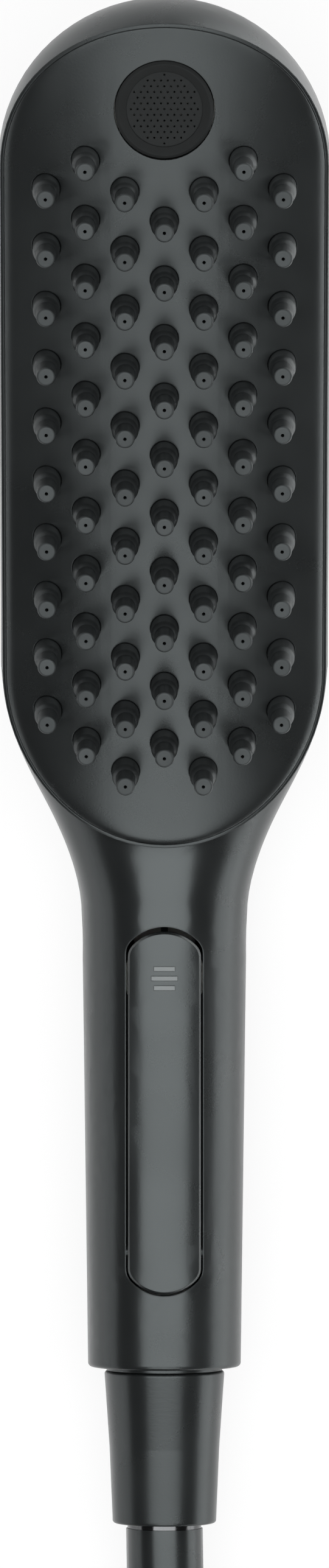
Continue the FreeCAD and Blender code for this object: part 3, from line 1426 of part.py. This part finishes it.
# The frame's origin lies on the table, below the middle of everything but the hose
CORD = ("hose", "hose_coil", "far_tail", "far_nut", "far_washer")
box = FreeCAD.BoundBox()
for label, made in pieces.items():
    if label not in CORD:
        box.add(made.Shape.optimalBoundingBox(False))
shift = V(-box.Center.x, -box.Center.y, -box.ZMin)
print("shift", shift, "box", box.XLength, box.YLength, box.ZLength)
for made in pieces.values():
    made.Placement = FreeCAD.Placement(shift, FreeCAD.Rotation()).multiply(made.Placement)
doc.recompute()

for label, made in pieces.items():
    if "Invalid" in made.State or "Error" in made.State:
        raise ValueError(f"{label} is in state {made.State}")
    if made.Shape.isNull() or not made.Shape.isValid():
        raise ValueError(f"{label} has no valid shape")
    made.Shape.exportStep(f"parts/{label}.step")
    print(label, len(made.Shape.Solids), round(made.Shape.Volume, 1))
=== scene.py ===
import json
import math

import bmesh
import bpy
from mathutils import Matrix, Vector


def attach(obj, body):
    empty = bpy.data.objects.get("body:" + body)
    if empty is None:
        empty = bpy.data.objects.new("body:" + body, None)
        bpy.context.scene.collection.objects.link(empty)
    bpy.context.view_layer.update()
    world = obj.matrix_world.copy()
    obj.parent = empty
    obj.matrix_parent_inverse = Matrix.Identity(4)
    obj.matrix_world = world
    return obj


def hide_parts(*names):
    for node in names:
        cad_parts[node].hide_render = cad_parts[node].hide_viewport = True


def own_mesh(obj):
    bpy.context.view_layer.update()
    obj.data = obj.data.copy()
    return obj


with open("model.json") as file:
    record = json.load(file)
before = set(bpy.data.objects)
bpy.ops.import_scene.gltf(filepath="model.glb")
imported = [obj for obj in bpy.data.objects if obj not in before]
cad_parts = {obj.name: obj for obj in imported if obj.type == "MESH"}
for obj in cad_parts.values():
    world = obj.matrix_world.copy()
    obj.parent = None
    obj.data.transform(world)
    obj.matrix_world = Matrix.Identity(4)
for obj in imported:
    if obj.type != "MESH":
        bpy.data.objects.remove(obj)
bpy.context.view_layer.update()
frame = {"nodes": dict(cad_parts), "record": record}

MM = 0.001

# The handle's own measures are in millimetres from its hose end, along its axis and up from that axis
AXIS_HEIGHT = 16.3636
HOSE_END_PLACE = -110.2407
HANDLE_RADIUS = 16.35


def from_handle(x, y, z):
    """A point given from the handle's hose end, in the frame's metres."""
    return Vector((x * MM, (y + HOSE_END_PLACE) * MM, (z + AXIS_HEIGHT) * MM))


def in_scene(name, data):
    """A new object around its data, in the scene."""
    piece = bpy.data.objects.new(name, data)
    bpy.context.scene.collection.objects.link(piece)
    return piece


# Camera: straight down on the sprayer as it lies on its back, from well away

CAMERA_HEIGHT = 1700
CAMERA_SIDE = 0.02
VIEW_CENTRE = 116.6
FOCAL_PIXELS = 13940
IMAGE_HEIGHT = 2576
SENSOR = 24
CLIP_METRES = 20


def place_camera():
    camera = in_scene("camera", bpy.data.cameras.new("camera"))
    camera.location = from_handle(CAMERA_SIDE, VIEW_CENTRE, CAMERA_HEIGHT)
    camera.data.sensor_fit = "VERTICAL"
    camera.data.sensor_height = SENSOR
    camera.data.lens = SENSOR * FOCAL_PIXELS / IMAGE_HEIGHT
    camera.data.clip_end = CLIP_METRES
    bpy.context.scene.camera = camera


place_camera()
bpy.context.scene.view_settings.view_transform = "Standard"


# Hose: one smooth line from the metal end behind the nut, down to the table and into its coil

HOSE_RADIUS = 7.67
HOSE_START = 32.4
LYING_LEVEL = HOSE_RADIUS - HANDLE_RADIUS

COIL_CENTRE = (-62.0, -165.24)
COIL_TURNS = 2.2381
OUTER_TURN = 85.619
TURN_PITCH = 15.94
COIL_ENTRY = OUTER_TURN + COIL_CENTRE[0]

# The far end is straight, and high enough for its nut to lie on the turn below
FAR_STRAIGHT = 34.0
FAR_LIFT = 4.03

# Shares of the coil: where it climbs onto its second layer, and where its far end is lifted
CLIMB_START = 0.4
CLIMB_SHARE = 0.2
FAR_LIFT_START = 0.9
FAR_LIFT_SHARE = 0.1

# Free stretch: how far toward the hose end, and the share of the way to the coil's entry
FREE_POINTS = ((HOSE_START, 0), (57.0, 0), (81.0, 0.26), (101.3, 0.74), (125.3, 1), (149.9, 1))

# How finely the line is drawn: its points in one turn, the steps between two points and around the hose
POINTS_PER_TURN = 48
LINE_STEPS = 4
ROUND_STEPS = 7


def eased(share):
    """A share held between nothing and one, and eased at both ends."""
    share = min(1.0, max(0.0, share))
    return share * share * (3 - 2 * share)


def coil_level(share):
    """The level of the hose's middle at a share of the coil."""
    climb = TURN_PITCH * eased((share - CLIMB_START) / CLIMB_SHARE)
    lift = FAR_LIFT * eased((share - FAR_LIFT_START) / FAR_LIFT_SHARE)
    return LYING_LEVEL + climb + lift


def hose_points():
    """The line's points, from behind the nut to the hose's far end."""
    points = [from_handle(COIL_ENTRY * share, -along, LYING_LEVEL * share) for along, share in FREE_POINTS]
    count = round(POINTS_PER_TURN * COIL_TURNS)
    for i in range(count + 1):
        turn = COIL_TURNS * i / count
        radius = OUTER_TURN - TURN_PITCH * min(turn, COIL_TURNS - turn)
        angle = 2 * math.pi * turn
        x = COIL_CENTRE[0] + radius * math.cos(angle)
        y = COIL_CENTRE[1] - radius * math.sin(angle)
        points.append(from_handle(x, y, coil_level(turn / COIL_TURNS)))
    along = Vector((-math.sin(angle), -math.cos(angle), 0))
    points.append(points[-1] + along * (FAR_STRAIGHT * MM))
    return points


def make_hose():
    line = bpy.data.curves.new("hose_line", "CURVE")
    line.dimensions = "3D"
    line.resolution_u = LINE_STEPS
    line.bevel_depth = 1
    line.bevel_resolution = ROUND_STEPS
    line.use_fill_caps = True
    points = hose_points()
    spline = line.splines.new("NURBS")
    spline.points.add(len(points) - 1)
    # The hose's thickness is in its points' radius, which Blender adds to the curve's box in metres
    for target, point in zip(spline.points, points):
        target.co = (*point, 1)
        target.radius = HOSE_RADIUS * MM
    spline.order_u = 3
    spline.use_endpoint_u = True
    return in_scene("shower_hose", line)


hose = make_hose()
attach(hose, "casing")
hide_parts("hose", "hose_coil")
tuple(from_handle(0, -HOSE_START, 0))


# Springs, wound again as meshes in place of the model's own

WIRE_SIDES = 10
STEPS_PER_TURN = 24


def wound_spring(name, foot, along, radius, wire, turns, length):
    """A spring that stands on its foot in the frame and points along an axis.

    Its sizes are in millimetres: the radius of the turns' middle, the wire's own radius and the length.
    """
    shape = bmesh.new()
    bmesh.ops.create_circle(shape, segments=WIRE_SIDES, radius=wire * MM)
    stand = Matrix.Translation((radius * MM, 0, wire * MM)) @ Matrix.Rotation(math.radians(90), 4, "X")
    bmesh.ops.transform(shape, matrix=stand, verts=shape.verts)
    steps = round(turns * STEPS_PER_TURN)
    rise = (length - 2 * wire) * MM / steps
    section = shape.verts[:] + shape.edges[:]
    around = 2 * math.pi * turns
    bmesh.ops.spin(shape, geom=section, axis=(0, 0, 1), dvec=(0, 0, rise), angle=around, steps=steps)
    bmesh.ops.holes_fill(shape, edges=[edge for edge in shape.edges if edge.is_boundary])
    bmesh.ops.recalc_face_normals(shape, faces=shape.faces)
    turn = Vector((0, 0, 1)).rotation_difference(Vector(along)).to_matrix().to_4x4()
    bmesh.ops.transform(shape, matrix=Matrix.Translation(foot) @ turn, verts=shape.verts)
    mesh = bpy.data.meshes.new(name)
    shape.to_mesh(mesh)
    shape.free()
    mesh.shade_smooth()
    piece = in_scene(name, mesh)
    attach(piece, "casing")
    return piece


# The valve's spring stands on the rotor; the check valve's leans on the end wall nearer the handle
UP = (0, 0, 1)
TO_HOSE = (0, -1, 0)
VALVE_PLACE = 78
ROTOR_TOP = -3.1
CHECK_WALL = 4.5
VALVE_FOOT = from_handle(0, VALVE_PLACE, ROTOR_TOP)
CHECK_END = from_handle(0, CHECK_WALL, 0)

valve_spring = wound_spring(
    "valve_return_spring", VALVE_FOOT, UP, radius=3.5, wire=0.28, turns=3, length=5.4)
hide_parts("plunger_spring")
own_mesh(valve_spring)

check_spring = wound_spring(
    "check_valve_spring", CHECK_END, TO_HOSE, radius=2.2, wire=0.22, turns=5, length=9.0)
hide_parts("check_spring")
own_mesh(check_spring)


# Shader maths as plain expressions

EDGE_SAMPLES = 4


class Value:
    """A socket of a finish's node tree, most often a number that varies over the surface."""

    def __init__(self, finish, socket):
        self.finish = finish
        self.socket = socket

    def maths(self, operation, other=None, third=None, swapped=False):
        first, second = (other, self) if swapped else (self, other)
        inputs = {i: v for i, v in enumerate((first, second, third)) if v is not None}
        return self.finish.node("ShaderNodeMath", {"operation": operation}, inputs)

    def __add__(self, other):
        return self.maths("ADD", other)

    def __sub__(self, other):
        return self.maths("SUBTRACT", other)

    def __rsub__(self, other):
        return self.maths("SUBTRACT", other, swapped=True)

    def __mul__(self, other):
        return self.maths("MULTIPLY", other)

    __radd__ = __add__
    __rmul__ = __mul__

    def within(self, centre, reach):
        """One where the value is that near the centre, otherwise zero."""
        return self.maths("COMPARE", centre, reach)

    def ranged(self, low, high, new_low=0, new_high=1):
        """The value eased from one range into another."""
        inputs = {0: self, 1: low, 2: high, 3: new_low, 4: new_high}
        return self.finish.node("ShaderNodeMapRange", {"interpolation_type": "SMOOTHSTEP"}, inputs)


class Finish:
    """One material, built up from nodes around its surface shader."""

    def __init__(self, name, colour, roughness, **surface):
        self.material = bpy.data.materials.new(name)
        self.material.use_nodes = True
        self.tree = self.material.node_tree
        self.surface = self.tree.nodes["Principled BSDF"]
        self.surface.inputs["Base Color"].default_value = (*colour, 1)
        self.surface.inputs["Roughness"].default_value = roughness
        for socket, value in surface.items():
            self.surface.inputs[socket.replace("_", " ")].default_value = value
        self.place = self.node("ShaderNodeTexCoord", {}, {}, "Object")
        self.form = None

    def node(self, kind, settings, inputs, output=0):
        """Any node, from its type, its settings and its inputs' values or links."""
        made = self.tree.nodes.new(kind)
        for name, value in settings.items():
            setattr(made, name, value)
        for name, value in inputs.items():
            if isinstance(value, Value):
                self.tree.links.new(value.socket, made.inputs[name])
            else:
                made.inputs[name].default_value = value
        return Value(self, made.outputs[output])

    def grain(self, scale, detail=2.0, roughness=0.5):
        """Cloudy noise, with so many grains in a metre."""
        inputs = {"Vector": self.place, "Scale": scale, "Detail": detail, "Roughness": roughness}
        return self.node("ShaderNodeTexNoise", {}, inputs)

    def mixed(self, share, first, second):
        """A mix of two colours, whose sockets are a Mix node's inputs 6 and 7 and output 2."""
        first = first if isinstance(first, Value) else (*first, 1)
        second = second if isinstance(second, Value) else (*second, 1)
        return self.node("ShaderNodeMix", {"data_type": "RGBA"}, {0: share, 6: first, 7: second}, 2)

    def clouded(self, clouds, colour, spread):
        """The colour, darker and lighter by the spread from one cloud to the next."""
        return self.mixed(clouds.ranged(0.35, 0.65), tint(colour, 1 - spread), tint(colour, 1 + spread))

    def set(self, name, value):
        self.tree.links.new(value.socket, self.surface.inputs[name])

    def axes(self):
        """The three coordinates of the place on the surface."""
        return [self.node("ShaderNodeSeparateXYZ", {}, {"Vector": self.place}, axis) for axis in range(3)]

    def relief(self, height, depth, strength, edge=0.0):
        """Bumps of a given depth in metres, over edges rounded by a radius and over the broad form."""
        inputs = {"Height": height, "Distance": depth, "Strength": strength}
        if edge:
            inputs["Normal"] = self.node("ShaderNodeBevel", {"samples": EDGE_SAMPLES}, {"Radius": edge})
        if self.form:
            broad = {**inputs, "Height": self.form, "Distance": 1.0, "Strength": 1.0}
            inputs["Normal"] = self.node("ShaderNodeBump", {}, broad)
        self.set("Normal", self.node("ShaderNodeBump", {}, inputs))


def tint(colour, factor):
    """The colour, darker or lighter by a factor."""
    return tuple(c * factor for c in colour)


# The head's outline in metres, along the face from its lower tip, and how it turns over into the sides
FACE_TIP = from_handle(0, 103.9, 17.2)
HEAD_TILT = math.radians(15)
HEAD_HALF_WIDTH = 0.0322
CAP_PLACE = 0.1358
LOWER_END = 0.0345
EDGE_WIDTH = 0.0011
EDGE_SLOPE = 1.1

# Raised bars on the button, in metres: their middle, their pitch, half a bar and its reach to each side
BAR_PLACE = from_handle(0, VALVE_PLACE, 0).y
BAR_PITCH = 0.0019
BAR_HALF = 0.00045
BAR_REACH = 0.0026
BAR_STEP = 0.0005


def head_edge(finish):
    """How far the face falls off in metres where it turns over into the side of the head."""
    x, y, z = finish.axes()
    along = (y - FACE_TIP.y) * math.cos(HEAD_TILT) + (z - FACE_TIP.z) * math.sin(HEAD_TILT)
    past_cap = (along - CAP_PLACE).maths("MAXIMUM", 0)
    past_middle = (LOWER_END - along).maths("MAXIMUM", 0) * (HEAD_HALF_WIDTH / LOWER_END)
    beyond = past_cap + past_middle
    inside = HEAD_HALF_WIDTH - (x * x + beyond * beyond).maths("SQRT")
    return (inside * (-1 / EDGE_WIDTH)).maths("EXPONENT") * (-EDGE_SLOPE * EDGE_WIDTH)


def button_bar(across, along, number):
    """One on the raised bar of that number, counted from the middle one."""
    reach = BAR_REACH - BAR_STEP * abs(number)
    return across.within(0, reach) * along.within(BAR_PLACE + BAR_PITCH * number, BAR_HALF)


def button_bars(finish):
    """One on the button's three raised bars, which are printed light."""
    across, along, _ = finish.axes()
    lower, middle, upper = (button_bar(across, along, number) for number in (-1, 0, 1))
    return lower + middle + upper


# Dark plastic mirrors the lamps a little cooler than they are
COOL = (0.9, 0.99, 1, 1)
ANTHRACITE = (0.0088, 0.0096, 0.0098)
PRINT = (0.11, 0.115, 0.115)


def moulded_plastic(name, colour, roughness, shine=0.5, edge=0.0003, form=None, mark=None):
    """Satin plastic: fine spark-eroded grain, faint flow clouds and a little handling shine."""
    finish = Finish(name, colour, roughness, Specular_IOR_Level=shine, Specular_Tint=COOL)
    if form:
        finish.form = form(finish)
    fine = finish.grain(scale=2600, detail=3.0)
    clouds = finish.grain(scale=55, detail=4.0, roughness=0.6)
    handled = finish.grain(scale=18, detail=3.0, roughness=0.65)
    skin = finish.clouded(clouds, colour, spread=0.07)
    finish.set("Base Color", finish.mixed(mark(finish), skin, PRINT) if mark else skin)
    finish.set("Roughness", handled.ranged(0.4, 0.62, roughness - 0.03, roughness + 0.035) + fine * 0.03)
    finish.relief(fine, depth=0.000012, strength=0.8, edge=edge)
    return finish.material


def soft_silicone(name, colour):
    """Silicone rubber: matt skin with a soft sheen and specks of dust in the grain."""
    finish = Finish(name, colour, roughness=0.5, Specular_IOR_Level=0.45, Specular_Tint=COOL)
    fine = finish.grain(scale=1900, detail=3.0)
    specks = finish.grain(scale=420).ranged(0.66, 0.74, new_high=0.5)
    sheen = finish.grain(scale=90, detail=3.0)
    finish.set("Base Color", finish.mixed(specks, colour, tint(colour, 1.6)))
    finish.set("Roughness", sheen.ranged(0.35, 0.65, new_low=0.44, new_high=0.54))
    finish.relief(fine, depth=0.00001, strength=0.7, edge=0.0002)
    return finish.material


def bright_metal(name, colour, roughness):
    """Plated or turned metal with a fine grain and faint water marks."""
    finish = Finish(name, colour, roughness, Metallic=1.0)
    marks = finish.grain(scale=140, detail=4.0, roughness=0.6)
    fine = finish.grain(scale=3200)
    stain = marks.ranged(0.45, 0.7, new_high=0.5)
    finish.set("Roughness", marks.ranged(0.42, 0.66, new_low=roughness, new_high=roughness + 0.1))
    finish.set("Base Color", finish.mixed(stain, colour, tint(colour, 0.85)))
    finish.relief(fine, depth=0.000004, strength=0.5, edge=0.00015)
    return finish.material


def hose_skin(name, colour, roughness):
    """Smooth flexible plastic: faint clouds, a soft shine and hardly any grain."""
    finish = Finish(name, colour, roughness, Specular_IOR_Level=0.5, Specular_Tint=COOL)
    clouds = finish.grain(scale=40, detail=4.0, roughness=0.6)
    fine = finish.grain(scale=1500, detail=3.0)
    finish.set("Base Color", finish.clouded(clouds, colour, spread=0.08))
    finish.set("Roughness", clouds.ranged(0.35, 0.7, roughness - 0.03, roughness + 0.04) + fine * 0.02)
    finish.relief(fine, depth=0.000008, strength=0.6)
    return finish.material


FINISHES = {
    "casing": moulded_plastic("casing_plastic", ANTHRACITE, roughness=0.25, edge=0.0004),
    "face": moulded_plastic("face_plastic", ANTHRACITE, roughness=0.27, form=head_edge),
    "silicone": soft_silicone("nub_silicone", (0.016, 0.0175, 0.018)),
    "screen": moulded_plastic("screen_plastic", (0.0182, 0.0192, 0.0192), roughness=0.5, shine=0.05),
    "button": moulded_plastic(
        "button_plastic", tint(ANTHRACITE, 1.05), roughness=0.25, edge=0.0002, mark=button_bars),
    "inner_plastic": moulded_plastic("natural_plastic", (0.62, 0.61, 0.57), roughness=0.42),
    "seals": soft_silicone("black_rubber", (0.012, 0.012, 0.012)),
    "tube": soft_silicone("tube_silicone", (0.55, 0.56, 0.53)),
    "steel": bright_metal("plain_steel", (0.55, 0.55, 0.54), roughness=0.28),
    "fitting": moulded_plastic("nut_plastic", ANTHRACITE, roughness=0.26),
    "bright": bright_metal("dark_chrome", (0.09, 0.092, 0.094), roughness=0.12),
    "hose_skin": hose_skin("hose_plastic", ANTHRACITE, roughness=0.25),
}


def dress_pieces():
    """Give each piece the finish of its slot."""
    slot_of = {part["node"]: part["material_slot"] for part in frame["record"]["subparts"]}
    for name, node in frame["nodes"].items():
        node.data.materials.clear()
        node.data.materials.append(FINISHES[slot_of[name]])
    hose.data.materials.append(FINISHES["hose_skin"])
    for spring in (valve_spring, check_spring):
        spring.data.materials.append(FINISHES["steel"])


dress_pieces()


# Table and light

TABLE_SIZE = 6
TABLE_LEVEL = -0.0001
TABLE_COLOUR = (0.86, 0.86, 0.86)
WHITE = (1, 1, 1, 1)

# How much of plain white the table shows to the camera and gives to what mirrors it
SEEN_GLOW = 0.85
MIRRORED_GLOW = 0.1

ROOM_LIGHT = 0.06


def table():
    """A pale table that looks white to the camera and keeps the sprayer's shadow."""
    bpy.ops.mesh.primitive_plane_add(size=TABLE_SIZE, location=(0, 0, TABLE_LEVEL))
    top = bpy.context.object
    top.name = "table_top"
    finish = Finish("white_table", TABLE_COLOUR, roughness=0.6)
    seen = finish.node("ShaderNodeLightPath", {}, {}, "Is Camera Ray")
    mirrored = finish.node("ShaderNodeLightPath", {}, {}, "Is Glossy Ray")
    share = seen * SEEN_GLOW + mirrored * MIRRORED_GLOW
    glow = finish.node("ShaderNodeEmission", {}, {"Color": WHITE})
    skin = Value(finish, finish.surface.outputs[0])
    mix = finish.node("ShaderNodeMixShader", {}, {0: share, 1: skin, 2: glow})
    finish.tree.links.new(mix.socket, finish.tree.nodes["Material Output"].inputs["Surface"])
    top.data.materials.append(finish.material)


def softbox(name, place, aim, width, height, radiance, spread=180):
    """A rectangular lamp at a place, facing a point, as bright as the radiance says."""
    lamp = bpy.data.lights.new(name, "AREA")
    lamp.shape = "RECTANGLE"
    lamp.size = width
    lamp.size_y = height
    lamp.energy = radiance * math.pi * width * height
    lamp.spread = math.radians(spread)
    holder = in_scene(name, lamp)
    holder.location = place
    holder.rotation_euler = (Vector(aim) - Vector(place)).to_track_quat("-Z", "Y").to_euler()


def table_lamp(name, side, radiance):
    """A narrow beam straight down on the table beside the sprayer, which mirrors it in its sides."""
    softbox(name, (side, 0, 0.5), (side, 0, 0), width=1.24, height=1.6, radiance=radiance, spread=12)


def light():
    """Large soft lamps around the sprayer, each for the part of it that mirrors the lamp."""
    sprayer = (0, 0, 0.03)
    softbox("handle_softbox", (0, 0.13, 2.4), sprayer, width=3.3, height=1.54, radiance=4.05)
    softbox("face_softbox", (0, -1.75, 2.0), sprayer, width=1.9, height=1.9, radiance=3.2)
    softbox("right_softbox", (2.2, 0.6, 0.31), sprayer, width=5.0, height=0.6, radiance=2.7)
    softbox("left_softbox", (-2.2, 0.6, 0.31), sprayer, width=5.0, height=0.6, radiance=1.2)
    softbox("top_softbox", (0, 2.4, 0.9), sprayer, width=2.0, height=0.9, radiance=0.3)
    table_lamp("right_table_lamp", side=0.7, radiance=2.3)
    table_lamp("left_table_lamp", side=-0.71, radiance=0.4)


def room():
    """Walls that give hardly any light, but look white to the camera."""
    world = bpy.data.worlds.new("room")
    bpy.context.scene.world = world
    world.use_nodes = True
    tree = world.node_tree
    dim = tree.nodes["Background"]
    white = tree.nodes.new("ShaderNodeBackground")
    for background, strength in ((dim, ROOM_LIGHT), (white, 1.0)):
        background.inputs["Color"].default_value = WHITE
        background.inputs["Strength"].default_value = strength
    path = tree.nodes.new("ShaderNodeLightPath")
    mix = tree.nodes.new("ShaderNodeMixShader")
    tree.links.new(path.outputs["Is Camera Ray"], mix.inputs[0])
    tree.links.new(dim.outputs[0], mix.inputs[1])
    tree.links.new(white.outputs[0], mix.inputs[2])
    tree.links.new(mix.outputs[0], tree.nodes["World Output"].inputs["Surface"])


table()
light()
room()
